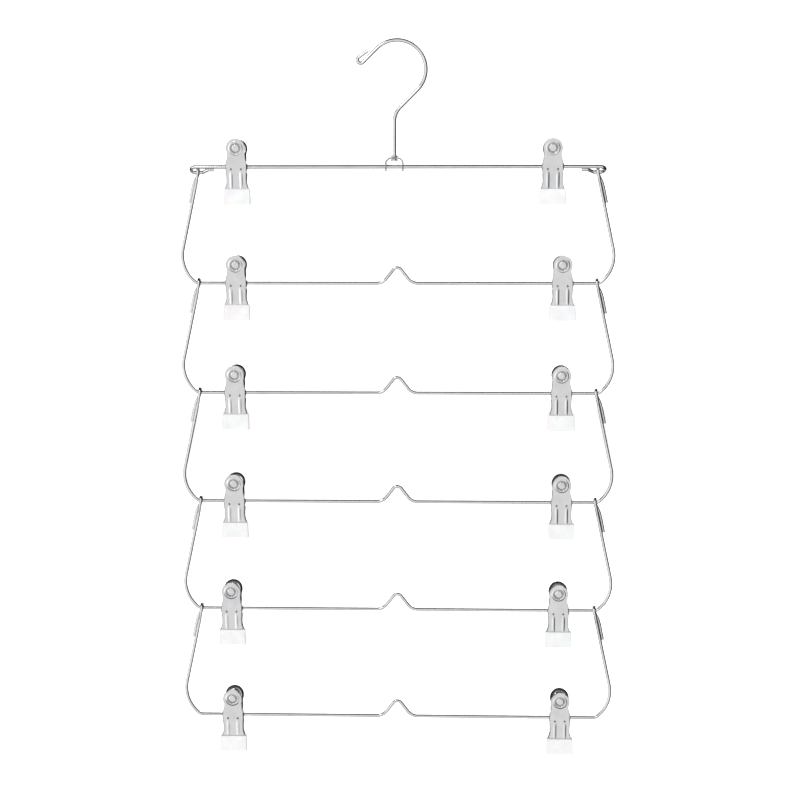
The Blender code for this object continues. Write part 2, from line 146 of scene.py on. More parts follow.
def added(name):
    """The primitive just added, named and with its place in its mesh."""
    obj = bpy.context.active_object
    obj.name = name
    obj.data.name = name
    bpy.ops.object.transform_apply(location=True, rotation=True, scale=True)
    return obj


def finish_with(obj, kind, **settings):
    """Adds a modifier and applies it."""
    only(obj)
    modifier = obj.modifiers.new(kind.lower(), kind)
    for key, value in settings.items():
        setattr(modifier, key, value)
    bpy.ops.object.modifier_apply(modifier=modifier.name)


def cut(obj, tool):
    finish_with(obj, "BOOLEAN", operation="DIFFERENCE", solver="EXACT", object=tool)
    bpy.data.objects.remove(tool)


def smooth_shade(obj, degrees=40):
    only(obj)
    bpy.ops.object.shade_smooth_by_angle(angle=math.radians(degrees))


def dress(obj, mat, slot, body, *nodes):
    """Gives a finished piece its material, its body and the CAD nodes that it stands for; its slot is not
    used.
    """
    obj.data.materials.clear()
    obj.data.materials.append(mat)
    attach(obj, body)
    if nodes:
        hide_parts(*nodes)
    return obj


def copy_to(pattern, name, place, turned=False):
    """A copy of a finished pattern with its own mesh, at its place; a turned one faces the rear."""
    mesh = pattern.data.copy()
    turn = Matrix.Rotation(math.pi, 4, "Z") if turned else Matrix.Identity(4)
    mesh.transform(Matrix.Translation(place) @ turn)
    mesh.name = name
    obj = bpy.data.objects.new(name, mesh)
    bpy.context.scene.collection.objects.link(obj)
    return obj


# ---------------------------------------------------------------- wire lines
def rounded(points, radii):
    """A line through points whose inner corners are arcs of the given radii."""
    path = [Vector(points[0])]
    for before, corner, after, radius in zip(points, points[1:], points[2:], radii):
        corner = Vector(corner)
        back = (Vector(before) - corner).normalized()
        ahead = (Vector(after) - corner).normalized()
        half = back.angle(ahead) / 2
        centre = corner + (back + ahead).normalized() * (radius / math.sin(half))
        start = corner + back * (radius / math.tan(half)) - centre
        turn = math.pi - 2 * half
        axis = start.cross(corner - centre).normalized()
        count = max(3, math.ceil(math.degrees(turn) / CORNER_STEP))
        path += [centre + Matrix.Rotation(turn * i / count, 3, axis) @ start for i in range(count + 1)]
    return path + [Vector(points[-1])]


def flowing(points, steps=8):
    """A smooth line through points."""
    points = [Vector(p) for p in points]
    ends = [2 * points[0] - points[1]] + points + [2 * points[-1] - points[-2]]
    path = []
    for a, b, c, d in zip(ends, ends[1:], ends[2:], ends[3:]):
        for i in range(steps):
            t = i / steps
            path.append(0.5 * (2 * b + (c - a) * t + (2 * a - 5 * b + 4 * c - d) * t ** 2
                               + (3 * b - a - 3 * c + d) * t ** 3))
    return path + [points[-1]]


def tidy_line(path, least=0.0001):
    """Drops points that all but coincide with the one before."""
    kept = [path[0]]
    for point in path[1:]:
        if (point - kept[-1]).length > least:
            kept.append(point)
    return kept


def wire(name, path, diameter, sides, end_cut=0.00025):
    """A wire along a path, with its two cut ends slightly rounded."""
    path = tidy_line(path)
    curve = bpy.data.curves.new(name, "CURVE")
    curve.dimensions = "3D"
    curve.bevel_depth = diameter / 2
    curve.bevel_resolution = (sides - 4) // 2
    curve.use_fill_caps = True
    spline = curve.splines.new("POLY")
    spline.points.add(len(path) - 1)
    for point, co in zip(spline.points, path):
        point.co = (*co, 1.0)
    obj = bpy.data.objects.new(name, curve)
    bpy.context.scene.collection.objects.link(obj)
    only(obj)
    bpy.ops.object.convert(target="MESH")
    start_edit(obj)
    bpy.ops.mesh.select_all(action="SELECT")
    bpy.ops.mesh.remove_doubles(threshold=NEAR)
    bpy.ops.mesh.normals_make_consistent(inside=False)
    pick(obj, "faces", lambda f: len(f.verts) > 4)
    bpy.ops.mesh.bevel(offset=end_cut, segments=2, affect="EDGES")
    end_edit()
    smooth_shade(obj, 50)
    return obj


def mirrored_line(half):
    """A whole line from its right half, which starts in the middle."""
    return [Vector((-p.x, p.y, p.z)) for p in reversed(half)] + half


def hook_line(stem_x, bar_height):
    """From the stem's head up through the saddle, round the rail and back along the folded tip."""
    radius = HOOK_INSIDE + HOOK_WIRE / 2
    centre = Vector((0, 0, -HOOK_INSIDE))
    reach = radius * math.sqrt(0.5)
    foot = Vector((stem_x, 0, bar_height + SADDLE_TOP - SADDLE_SHEET - PLAY - HEAD_HEIGHT / 2))
    elbow = Vector((stem_x, 0, centre.z - reach - (reach - stem_x)))
    neck = rounded([foot, elbow, centre + Vector((reach, 0, -reach))], [STEM_BEND])
    turns = [math.radians(a) for a in range(-45, 136, BOW_STEP)]
    bow = [centre + radius * Vector((math.cos(a), 0, math.sin(a))) for a in turns]
    down = Vector((-1, 0, -1)).normalized()
    tail = bow[-1] + HOOK_TAIL * down
    tip_centre = tail + HOOK_TIP_RADIUS * Vector((-1, 0, 1)).normalized()
    tip = []
    for i in range(HOOK_TIP_STEPS + 1):
        turn = Matrix.Rotation(math.radians(HOOK_TIP_TURN * i / HOOK_TIP_STEPS), 3, "Y")
        tip.append(tip_centre + turn @ (tail - tip_centre))
    heading = Matrix.Rotation(math.radians(HOOK_TIP_TURN), 3, "Y") @ down
    return neck[:-1] + bow + tip + [tip[-1] + HOOK_TIP_RETURN * heading]


def top_bar_line(height):
    """The straight bar, each end bent into an eye that leans back, its tail folded in under the bar."""
    bend = EYE_DROP / 2
    end_x = PIVOT_X + TIER_WIRE / 2 + PLAY
    half = []
    for degrees in range(90, -91, -EYE_STEP):
        angle = math.radians(degrees)
        half.append(Vector((end_x + bend * math.cos(angle), 0, -bend + bend * math.sin(angle))))
    shut = -(BAR_WIRE + PLAY)
    half += rounded([half.pop(), (PIVOT_X - EYE_LEVEL, 0, -EYE_DROP), (PIVOT_X - EYE_SHUT, 0, shut),
                     (PIVOT_X - EYE_TAIL, 0, shut)], [EYE_BEND, EYE_BEND])
    lean = Matrix.Rotation(math.radians(EYE_LEAN), 3, "X")
    lift = Vector((0, 0, height))
    return [p + lift for p in mirrored_line([lean @ p for p in half])]


def hairpin_line(side_top):
    """From the side wire's top over the eyelet axis and down beside and behind it."""
    loop = BORE + TIER_WIRE / 2
    slant = (side_top.x - PIVOT_X) / -side_top.z
    outside = (TIER_WIRE + PLAY) * math.cos(math.radians(FREE_LEG_SWING))
    behind = (TIER_WIRE + PLAY) * math.sin(math.radians(FREE_LEG_SWING))
    share = HAIRPIN_CROSS / HAIRPIN_JOIN
    spread = loop * CROSS_SPREAD
    crook = []
    for degrees in range(180, -1, -CROOK_STEP):
        angle = math.radians(degrees)
        crook.append(Vector((PIVOT_X, loop * math.cos(angle), loop * math.sin(angle))))
    lead_in = [side_top, Vector((PIVOT_X + slant * HAIRPIN_CROSS, -spread, -HAIRPIN_CROSS))]
    lead_out = [Vector((PIVOT_X + slant * HAIRPIN_CROSS + outside * share, spread, -HAIRPIN_CROSS)),
                Vector((PIVOT_X + slant * HAIRPIN_JOIN + outside, behind, -HAIRPIN_JOIN)),
                Vector((PIVOT_X + slant * HAIRPIN_REACH + outside, behind, -HAIRPIN_REACH))]
    return flowing(lead_in + crook[:1])[:-1] + crook + flowing(crook[-1:] + lead_out)[1:]


def tier_line(pivot):
    """A tier's one wire, from the free end of one hairpin to that of the other."""
    low = -FRAME_DROP
    belly = Vector((PIVOT_X + BELLY_OUT, 0, low + BELLY_RISE))
    slope = BELLY_OUT / (FRAME_DROP - BELLY_RISE)
    side_top = Vector((PIVOT_X + slope * HAIRPIN_JOIN, 0, -HAIRPIN_JOIN))
    line = [Vector((-PEAK_HALF_BASE, 0, low)), Vector((0, 0, low + PEAK_HEIGHT)),
            Vector((PEAK_HALF_BASE, 0, low)), Vector((PIVOT_X + CORNER_OUT, 0, low)), belly, side_top]
    radii = [PEAK_TIP_RADIUS, PEAK_FOOT_RADIUS, CORNER_RADIUS, BELLY_RADIUS]
    right = [p for p in rounded(line, radii)[1:-1] if p.x >= -NEAR] + hairpin_line(side_top)
    return [p + pivot for p in mirrored_line(right)]


# ---------------------------------------------------------------- finishes
def node_group(name, inputs, outputs):
    """An empty shader node group with its input and output nodes."""
    group = bpy.data.node_groups.new(name, "ShaderNodeTree")
    for label, kind, value in inputs:
        socket = group.interface.new_socket(name=label, in_out="INPUT", socket_type=kind)
        socket.default_value = value
    for label, kind in outputs:
        group.interface.new_socket(name=label, in_out="OUTPUT", socket_type=kind)
    return group, group.nodes.new("NodeGroupInput"), group.nodes.new("NodeGroupOutput")


def node(tree, kind, values=None, **settings):
    """A new node with its settings, and then the values of its inputs."""
    made = tree.nodes.new(kind)
    for key, value in settings.items():
        setattr(made, key, value)
    for key, value in (values or {}).items():
        made.inputs[key].default_value = value
    return made


def mottle_group():
    """Slow, soft variation over a surface: a value from Low to High."""
    group, into, out = node_group("soft_mottle", [
        ("Vector", "NodeSocketVector", (0, 0, 0)), ("Scale", "NodeSocketFloat", 100.0),
        ("Low", "NodeSocketFloat", 0.0), ("High", "NodeSocketFloat", 1.0)], [("Value", "NodeSocketFloat")])
    noise = node(group, "ShaderNodeTexNoise", {"Detail": 3.0, "Roughness": 0.55})
    spread = node(group, "ShaderNodeMapRange", {"From Min": 0.3, "From Max": 0.7})
    link = group.links.new
    link(into.outputs["Vector"], noise.inputs["Vector"])
    link(into.outputs["Scale"], noise.inputs["Scale"])
    link(noise.outputs["Fac"], spread.inputs["Value"])
    link(into.outputs["Low"], spread.inputs["To Min"])
    link(into.outputs["High"], spread.inputs["To Max"])
    link(spread.outputs["Result"], out.inputs["Value"])
    return group


def scratch_group():
    """Fine polishing lines in one direction: a height from 0 to 1."""
    group, into, out = node_group("polish_lines", [
        ("Vector", "NodeSocketVector", (0, 0, 0)), ("Across", "NodeSocketFloat", 4000.0),
        ("Along", "NodeSocketFloat", 90.0)], [("Height", "NodeSocketFloat")])
    stretch = node(group, "ShaderNodeCombineXYZ")
    scaled = node(group, "ShaderNodeVectorMath", operation="MULTIPLY")
    noise = node(group, "ShaderNodeTexNoise", {"Scale": 1.0, "Detail": 2.0, "Roughness": 0.6})
    link = group.links.new
    link(into.outputs["Across"], stretch.inputs["X"])
    link(into.outputs["Across"], stretch.inputs["Y"])
    link(into.outputs["Along"], stretch.inputs["Z"])
    link(into.outputs["Vector"], scaled.inputs[0])
    link(stretch.outputs["Vector"], scaled.inputs[1])
    link(scaled.outputs["Vector"], noise.inputs["Vector"])
    link(noise.outputs["Fac"], out.inputs["Height"])
    return group


# painted shade: a per-point share that darkens the clip plates' chrome at their rims and round the spring,
# in place of dark reflections and shade
RIM = "thin_plating"
MOTTLE = mottle_group()
SCRATCHES = scratch_group()


def new_material(name):
    mat = bpy.data.materials.new(name)
    mat.use_nodes = True
    tree = mat.node_tree
    return mat, tree, tree.nodes["Principled BSDF"], node(tree, "ShaderNodeTexCoord")


def grouped(tree, group, where, values):
    """A shared effect placed in a material, with this material's own values."""
    made = node(tree, "ShaderNodeGroup", node_tree=group)
    tree.links.new(where, made.inputs["Vector"])
    for key, value in values.items():
        made.inputs[key].default_value = value
    return made


def mottled(tree, where, scale, low=0.0, high=1.0):
    return grouped(tree, MOTTLE, where, {"Scale": scale, "Low": low, "High": high}).outputs["Value"]


# sockets of a Mix node that mixes colours
MIX_SHARE, MIX_FIRST, MIX_SECOND, MIX_OUT = 0, 6, 7, 2


def two_tones(tree, share, first, second):
    """Mixes two colours by a value that changes over the surface."""
    made = node(tree, "ShaderNodeMix", data_type="RGBA")
    made.inputs[MIX_FIRST].default_value = (*first, 1)
    made.inputs[MIX_SECOND].default_value = (*second, 1)
    tree.links.new(share, made.inputs[MIX_SHARE])
    return made


def bumped(tree, height, strength, distance):
    made = node(tree, "ShaderNodeBump", {"Strength": strength, "Distance": distance})
    tree.links.new(height, made.inputs["Height"])
    return made


# the dark colour that the painted shade mixes into the plates' chrome
PAINTED_SHADE_METAL = (0.035, 0.035, 0.04)
LINE_STRENGTH, PEEL_STRENGTH = 0.35, 0.30
GLOSS_FINENESS = 3.1         # how much finer the gloss varies than the tone


def metal(name, dark, light, roughness, mottle, lines, line_depth, peel, peel_depth, rim=None):
    """Plated metal: two close tones, uneven gloss, polishing lines and a faint orange peel.

    rim names a mesh attribute that darkens the metal with painted shade, standing in for the dark
    reflections and shade at the plate's rims and round the spring.
    """
    mat, tree, shader, place = new_material(name)
    link = tree.links.new
    shader.inputs["Metallic"].default_value = 1.0
    where = place.outputs["Object"]
    colour = two_tones(tree, mottled(tree, where, mottle), dark, light).outputs[MIX_OUT]
    if rim:
        # painted shade: the attribute mixes the chrome towards a dark colour where reflections and shade
        # look dark
        painted_shade_mask = node(tree, "ShaderNodeAttribute", attribute_name=rim)
        painted_shade_mix = two_tones(tree, painted_shade_mask.outputs["Fac"], light, PAINTED_SHADE_METAL)
        link(colour, painted_shade_mix.inputs[MIX_FIRST])
        colour = painted_shade_mix.outputs[MIX_OUT]
    link(colour, shader.inputs["Base Color"])
    link(mottled(tree, where, mottle * GLOSS_FINENESS, *roughness), shader.inputs["Roughness"])
    polish = grouped(tree, SCRATCHES, where, {"Across": lines[0], "Along": lines[1]})
    grain = bumped(tree, polish.outputs["Height"], LINE_STRENGTH, line_depth)
    skin = bumped(tree, mottled(tree, where, peel), PEEL_STRENGTH, peel_depth)
    link(grain.outputs["Normal"], skin.inputs["Normal"])
    link(skin.outputs["Normal"], shader.inputs["Normal"])
    return mat


def dipped_vinyl():
    """Milky soft plastic, a little cloudier in places and smooth from the dip."""
    mat, tree, shader, place = new_material("dipped_vinyl")
    link = tree.links.new
    where = place.outputs["Object"]
    colour = two_tones(tree, mottled(tree, where, 160.0), (0.82, 0.83, 0.835), (0.89, 0.895, 0.895))
    link(colour.outputs[MIX_OUT], shader.inputs["Base Color"])
    link(mottled(tree, where, 300.0, 0.16, 0.24), shader.inputs["Roughness"])
    shader.inputs["IOR"].default_value = 1.46
    shader.inputs["Subsurface Weight"].default_value = 0.35
    shader.inputs["Subsurface Scale"].default_value = 0.0015
    skin = bumped(tree, mottled(tree, where, 140.0), PEEL_STRENGTH, 0.00008)
    link(skin.outputs["Normal"], shader.inputs["Normal"])
    return mat


CHROME_WIRE = metal("bright_chrome_wire", dark=(0.72, 0.72, 0.73), light=(0.80, 0.80, 0.81),
                    roughness=(0.05, 0.12), mottle=140.0, lines=(2600.0, 2600.0), line_depth=0.000003,
                    peel=900.0, peel_depth=0.000004)
CHROME_SHEET = metal("chromed_pressed_sheet", dark=(0.68, 0.68, 0.69), light=(0.76, 0.76, 0.77),
                     roughness=(0.06, 0.12), mottle=120.0, lines=(5200.0, 160.0), line_depth=0.000006,
                     peel=700.0, peel_depth=0.000008, rim=RIM)
# painted shade: the strip's chrome tones are set far darker than the plates', standing in for the dark
# reflections it shows
STRIP_SHEET = metal("chromed_bent_strip", dark=(0.26, 0.26, 0.27), light=(0.36, 0.36, 0.37),
                    roughness=(0.10, 0.18), mottle=160.0, lines=(3000.0, 3000.0), line_depth=0.00001,
                    peel=700.0, peel_depth=0.000012)
SPRING_STEEL = metal("zinc_spring_wire", dark=(0.42, 0.42, 0.44), light=(0.56, 0.56, 0.57),
                     roughness=(0.22, 0.36), mottle=300.0, lines=(3800.0, 3800.0), line_depth=0.00001,
                     peel=1500.0, peel_depth=0.00001)
VINYL = dipped_vinyl()


# ---------------------------------------------------------------- hook, saddle and top bar
def stud(name, x, low, high):
    """An upset head or collar on the stem: a short disc with rounded rims and a soft crown."""
    bpy.ops.mesh.primitive_cylinder_add(vertices=40, radius=HEAD_RADIUS, depth=high - low,
                                        location=(x, 0, (low + high) / 2))
    obj = added(name)
    start_edit(obj)
    pick(obj, "faces", lambda f: abs(f.normal.z) > 0.9)
    bpy.ops.mesh.inset(thickness=HEAD_RADIUS * HEAD_RIM)
    bpy.ops.mesh.inset(thickness=HEAD_RADIUS * HEAD_CROWN, depth=HEAD_CROWN_RISE)
    pick(obj, "edges", lambda e: abs((e.verts[0].co - Vector((x, 0, 0))).xy.length - HEAD_RADIUS) < 0.0001
         and abs(e.verts[0].co.z - e.verts[1].co.z) < NEAR)
    bpy.ops.mesh.bevel(offset=HEAD_EDGE, segments=3, affect="EDGES")
    end_edit()
    smooth_shade(obj)
    return obj


def saddle_strip(height):
    """Flat strip bent over the bar: a level plate, two slanting shoulders and two legs with round holes."""
    half = SADDLE_WIDTH / 2
    shoulder = SADDLE_TOP - SADDLE_SHOULDER
    bends = [(half - SADDLE_SHOULDER, SADDLE_TOP), (half, shoulder), (half, -SADDLE_FOOT)]
    bpy.ops.mesh.primitive_plane_add(size=1, location=(0, 0, SADDLE_TOP))
    obj = added("saddle_strip")
    start_edit(obj)
    bpy.ops.mesh.select_all(action="SELECT")
    bpy.ops.transform.resize(value=(2 * bends[0][0], SADDLE_DEPTH, 1), center_override=(0, 0, SADDLE_TOP))
    for side in (-1, 1):
        x, z = bends[0]
        for next_x, next_z in bends[1:]:
            pick(obj, "edges", lambda e: abs(middle(e).x - side * x) < NEAR
                 and abs(middle(e).z - z) < NEAR and abs(e.verts[0].co.y - e.verts[1].co.y) > 0.001)
            move = (side * (next_x - x), 0, next_z - z)
            bpy.ops.mesh.extrude_edges_move(TRANSFORM_OT_translate={"value": move})
            x, z = next_x, next_z
    bpy.ops.mesh.select_all(action="SELECT")
    bpy.ops.mesh.normals_make_consistent(inside=False)
    pick(obj, "edges", lambda e: len(e.link_faces) == 2)
    bpy.ops.mesh.bevel(offset=SADDLE_BEND, segments=4, affect="EDGES")
    pick(obj, "verts", lambda v: abs(abs(v.co.y) - SADDLE_DEPTH / 2) < NEAR
         and abs(v.co.z + SADDLE_FOOT) < NEAR)
    bpy.ops.mesh.bevel(offset=SADDLE_CORNER, segments=5, affect="VERTICES")
    shape = bmesh.from_edit_mesh(obj.data)
    if sum(f.normal.z for f in shape.faces) < 0:
        bpy.ops.mesh.select_all(action="SELECT")
        bpy.ops.mesh.flip_normals()
    end_edit()
    finish_with(obj, "SOLIDIFY", thickness=SADDLE_SHEET, offset=-1, use_even_offset=True)
    bpy.ops.mesh.primitive_cylinder_add(vertices=40, radius=BORE, depth=2 * SADDLE_WIDTH,
                                        rotation=(0, math.pi / 2, 0))
    cut(obj, added("bar_drill"))
    bpy.ops.mesh.primitive_cylinder_add(vertices=40, radius=HOOK_WIRE / 2 + PLAY, depth=4 * SADDLE_SHEET,
                                        location=(0, 0, SADDLE_TOP))
    cut(obj, added("stem_drill"))
    finish_with(obj, "BEVEL", width=SADDLE_BURR, segments=2, limit_method="ANGLE",
                angle_limit=math.radians(50))
    obj.data.transform(Matrix.Translation((0, 0, height)))
    smooth_shade(obj)
    return obj


# ---------------------------------------------------------------- clip
def standoff(z):
    """How far the plate's mid sheet stands from the clip's middle plane at a height."""
    if z > EAR_RADIUS:
        return PLATE_STANDOFF + (PAD_STANDOFF - PLATE_STANDOFF) * (z - EAR_RADIUS) / (CLIP_TOP - EAR_RADIUS)
    if z > -EAR_RADIUS:
        return PLATE_STANDOFF
    down = min(1.0, (-EAR_RADIUS - z) / (TIP_TOP - EAR_RADIUS))
    return PLATE_STANDOFF + (TIP_OFFSET - PLATE_STANDOFF) * down


# thumb pad, from its rim inwards: width of each ring and how far it is pressed forward
PAD_RINGS = ((0.00170, 0.0), (0.00025, 0.00014), (0.00055, 0.00026), (0.00035, 0.00006),
             (0.00025, -0.00020), (0.00040, -0.00095), (0.00030, -0.00015), (0.00030, 0.00060),
             (0.00030, 0.00055), (0.00060, 0.00022), (0.00090, 0.00006))
RIB_COLUMNS = (0.0026, 0.0036, 0.0046)
# height, half width and how far the ribs stand forward, down the plate from the pad
PLATE_ROWS = ((0.0051, 0.0067, 0.0), (0.0037, 0.0073, 0.0), (0.0018, 0.0075, 0.0), (0.0, 0.0075, 0.0),
              (HOLE_Z, 0.0075, 0.0), (-0.0034, 0.0075, 0.00055), (-0.0046, 0.0074, 0.00085),
              (-0.0065, 0.0072, 0.00095), (-0.0090, 0.0071, 0.00095), (-0.0120, 0.0072, 0.00095),
              (-0.0145, 0.0082, 0.00095), (-0.0160, 0.0087, 0.00070), (-0.0190, 0.0088, 0.00030),
              (-0.0265, 0.0088, 0.0))
EAR_ROWS = (-0.0036, 0.0038)           # between these heights a plate is no wider than its ears
EAR_ROOT = (HOLE_Z - 0.0001, 0.0019)   # between these heights the ears leave the plate
EAR_FOLD, EAR_NOSE, EAR_SWEEP = 0.0007, 1.08, 100
HOLE_CUT = 0.00130
PLATE_EDGE = 0.0001
# from full shade to none, inwards from the plate's outline
INSIDE_BAND, OUTSIDE_BAND = (0.0012, 0.0024), (0.00005, 0.00045)
OUTSIDE_SHADE = 0.75
SPRING_LEVEL, SPRING_ZONE, SPRING_FADE = -0.002, 0.0075, 0.002   # painted shade on the inside round the spring


def in_spring_hole(face):
    place = face.calc_center_median()
    hole = Vector((math.copysign(HOLE_X, place.x), -PLATE_STANDOFF, HOLE_Z))
    return (place - hole).length < 0.0002


def clip_plate(name, ear_half):
    """One pressed plate: dished thumb pad, waist, two ears bent back, two spring holes and two ribs."""
    bpy.ops.mesh.primitive_circle_add(vertices=24, radius=PAD_RADIUS, fill_type="NGON",
                                      location=(0, 0, PAD_Z), rotation=(math.pi / 2, 0, 0))
    obj = added(name)
    start_edit(obj)
    bpy.ops.mesh.select_mode(type="FACE")
    bpy.ops.mesh.select_all(action="SELECT")
    for width, rise in PAD_RINGS:
        bpy.ops.mesh.inset(thickness=width, depth=rise)
    bpy.ops.mesh.poke()
    pick(obj, "edges", lambda e: len(e.link_faces) == 1 and middle(e).z < PAD_Z - 0.5 * PAD_RADIUS)
    for z, half, rise in PLATE_ROWS:
        if EAR_ROWS[0] < z < EAR_ROWS[1]:
            half = min(half, ear_half)
        bpy.ops.mesh.extrude_edges_move(TRANSFORM_OT_translate={"value": (0, 0, -0.001)})
        shape = bmesh.from_edit_mesh(obj.data)
        row = sorted((v for v in shape.verts if v.select), key=lambda v: v.co.x)
        columns = [-half, *(-x for x in reversed(RIB_COLUMNS)), 0.0, *RIB_COLUMNS, half]
        for vert, x in zip(row, columns):
            vert.co = (x, -rise if abs(abs(x) - RIB_COLUMNS[1]) < NEAR else 0.0, z)
        bmesh.update_edit_mesh(obj.data)
    bend_ears(obj, ear_half)
    shape = bmesh.from_edit_mesh(obj.data)
    for vert in shape.verts:
        vert.co.y -= standoff(vert.co.z)
    bmesh.update_edit_mesh(obj.data)
    pick(obj, "verts", lambda v: abs(abs(v.co.x) - HOLE_X) < NEAR and abs(v.co.z - HOLE_Z) < NEAR)
    bpy.ops.mesh.bevel(offset=HOLE_CUT, segments=1, affect="VERTICES")
    pick(obj, "faces", in_spring_hole)
    bpy.ops.mesh.delete(type="FACE")
    bpy.ops.mesh.select_all(action="SELECT")
    bpy.ops.mesh.normals_make_consistent(inside=False)
    shape = bmesh.from_edit_mesh(obj.data)
    if sum(f.normal.y for f in shape.faces) > 0:
        bpy.ops.mesh.flip_normals()
    end_edit()
    finish_with(obj, "SUBSURF", levels=2, render_levels=2)
    finish_with(obj, "SOLIDIFY", thickness=SHEET, offset=0, use_even_offset=True)
    bpy.ops.mesh.primitive_cylinder_add(vertices=36, radius=BORE, depth=0.03, rotation=(0, math.pi / 2, 0))
    cut(obj, added("ear_drill"))
    finish_with(obj, "BEVEL", width=PLATE_EDGE, segments=1, limit_method="ANGLE",
                angle_limit=math.radians(60))
    smooth_shade(obj, 45)
    # paints shade onto the plate's rims and round the spring
    paint_rim_shade(obj)
    return obj


def bend_ears(obj, ear_half):
    """Extrudes the plate's side edges back into lugs that are round about the bar."""
    pick(obj, "edges", lambda e: len(e.link_faces) == 1 and abs(abs(middle(e).x) - ear_half) < 2 * NEAR
         and EAR_ROOT[0] < middle(e).z < EAR_ROOT[1] and abs(e.verts[0].co.y) < 0.0001)
    for stage in ("fold", "wall", "nose"):
        bpy.ops.mesh.extrude_edges_move(TRANSFORM_OT_translate={"value": (0, 0.0001, 0)})
        shape = bmesh.from_edit_mesh(obj.data)
        row = sorted((v for v in shape.verts if v.select), key=lambda v: (v.co.x > 0, v.co.z))
        count = len(row) // 2
        for i, vert in enumerate(row):
            t = (i % count) / (count - 1)
            wall_x = math.copysign(ear_half - SHEET / 2, vert.co.x)
            if stage == "fold":
                vert.co = (math.copysign(ear_half, vert.co.x), EAR_FOLD, vert.co.z)
            elif stage == "wall":
                vert.co = (wall_x, PLATE_STANDOFF, (2 * t - 1) * (EAR_RADIUS + SHEET / 4))
            else:
                angle = math.radians(EAR_SWEEP * (t - 0.5))
                reach = EAR_RADIUS * EAR_NOSE
                vert.co = (wall_x, PLATE_STANDOFF + reach * math.cos(angle), reach * math.sin(angle))
        bmesh.update_edit_mesh(obj.data)


def edge_distance(co):
    """How far a point of the front view lies inside the plate's outline."""
    if co.z > PAD_Z:
        return PAD_RADIUS - math.hypot(co.x, co.z - PAD_Z)
    outline = [(PAD_Z, PAD_RADIUS)] + [(z, half) for z, half, rise in PLATE_ROWS]
    for (upper, wide), (lower, wide_below) in zip(outline, outline[1:]):
        if co.z >= lower:
            t = (upper - co.z) / (upper - lower)
            return wide + t * (wide_below - wide) - abs(co.x)
    return 0.01


def paint_rim_shade(obj):
    """Paints shade into the metal along the inside's rim, behind the spring and in a hairline round the
    outside, in place of dark reflections and shade.
    """
    mesh = obj.data
    shade = mesh.attributes.new(RIM, "FLOAT", "POINT")
    for vert in mesh.vertices:
        inside = vert.normal.y > 0.2
        full, clear = INSIDE_BAND if inside else OUTSIDE_BAND
        t = min(1.0, max(0.0, (clear - edge_distance(vert.co)) / (clear - full)))
        if inside:
            off_spring = abs(vert.co.z - SPRING_LEVEL)
            t = max(t, min(1.0, max(0.0, (SPRING_ZONE - off_spring) / SPRING_FADE)))
        shade.data[vert.index].value = t * t * (3 - 2 * t) * (1.0 if inside else OUTSIDE_SHADE)


TIP_WIDTH = 0.0194
TIP_COLUMNS = (-0.0088, -0.0052, -0.0035, -0.0018, 0.0, 0.0018, 0.0035, 0.0052, 0.0088)
TIP_ROWS = (TIP_TOP + 0.0005, TIP_TOP + 0.0022, 0.0215, TIP_BOTTOM - 0.0028, TIP_BOTTOM - 0.0008)
# shares of the width: at the top, gained on the way down, and lost at the very end
TIP_NARROW, TIP_FLARE, TIP_TUCK = 0.985, 0.05, 0.02
TIP_RIB, TIP_SWELL = 0.0035, 0.00045      # the coat swells over the ribs, most at the top
TIP_LIP_BACK, TIP_LIP_OUT = 0.00025, 0.00010


def dipped_tip(name):
    """The soft coat on a plate's lower end: flared, round at every edge and swollen over the ribs."""
    depth = SHEET + 2 * TIP_SKIN
    height = TIP_BOTTOM - TIP_TOP
    bpy.ops.mesh.primitive_cube_add(size=1, location=(0, -TIP_OFFSET, -(TIP_TOP + TIP_BOTTOM) / 2),
                                    scale=(TIP_WIDTH, depth, height))
    obj = added(name)
    start_edit(obj)
    cuts = [((x, 0, 0), (1, 0, 0)) for x in TIP_COLUMNS] + [((0, 0, -z), (0, 0, 1)) for z in TIP_ROWS]
    for place, normal in cuts:
        bpy.ops.mesh.select_all(action="SELECT")
        bpy.ops.mesh.bisect(plane_co=place, plane_no=normal)
    shape = bmesh.from_edit_mesh(obj.data)
    for vert in shape.verts:
        down = (-vert.co.z - TIP_TOP) / height
        front = vert.co.y < -TIP_OFFSET
        vert.co.x *= TIP_NARROW + TIP_FLARE * down - (TIP_TUCK if down > 0.97 else 0.0)
        if front and abs(abs(vert.co.x) - TIP_RIB) < 0.0003:
            vert.co.y -= TIP_SWELL * max(0.0, 1 - down * 1.2)
        if front and down < 0.02:
            vert.co.y += TIP_LIP_BACK
        if front and 0.02 < down < 0.06:
            vert.co.y -= TIP_LIP_OUT
    bmesh.update_edit_mesh(obj.data)
    end_edit()
    finish_with(obj, "SUBSURF", levels=2, render_levels=2)
    smooth_shade(obj, 60)
    return obj


def coil_line():
    """The spring's coil round the bar, from one ear to the other."""
    radius = BORE + COIL_WIRE / 2
    count = int(COIL_TURNS * 24)
    line = []
    for i in range(count + 1):
        angle = math.radians(-90) + 2 * math.pi * COIL_TURNS * i / count
        x = -COIL_HALF + 2 * COIL_HALF * i / count
        line.append(Vector((x, radius * math.cos(angle), radius * math.sin(angle))))
    return line


def spring_leg(name, side, start_x):
    """From under the coil's end forward to the plate's hole, its end just behind the sheet."""
    radius = BORE + COIL_WIRE / 2
    line = [Vector((side * start_x, radius * math.cos(a), radius * math.sin(a)))
            for a in (math.radians(degrees) for degrees in range(-30, -81, -10))]
    line += flowing([line[-1], Vector((side * (start_x + HOLE_X) / 2, LEG_SAG_Y, LEG_SAG_Z)),
                     Vector((side * HOLE_X, -PLATE_STANDOFF + LEG_NEAR, HOLE_Z - LEG_DIP)),
                     Vector((side * HOLE_X, -PLATE_STANDOFF + LEG_END, HOLE_Z))], 6)[1:]
    return wire(name, line, LEG_WIRE, sides=10, end_cut=0.00015)


def join(name, objs):
    only(objs[0])
    for obj in objs[1:]:
        obj.select_set(True)
    bpy.ops.object.join()
    objs[0].name = name
    return objs[0]


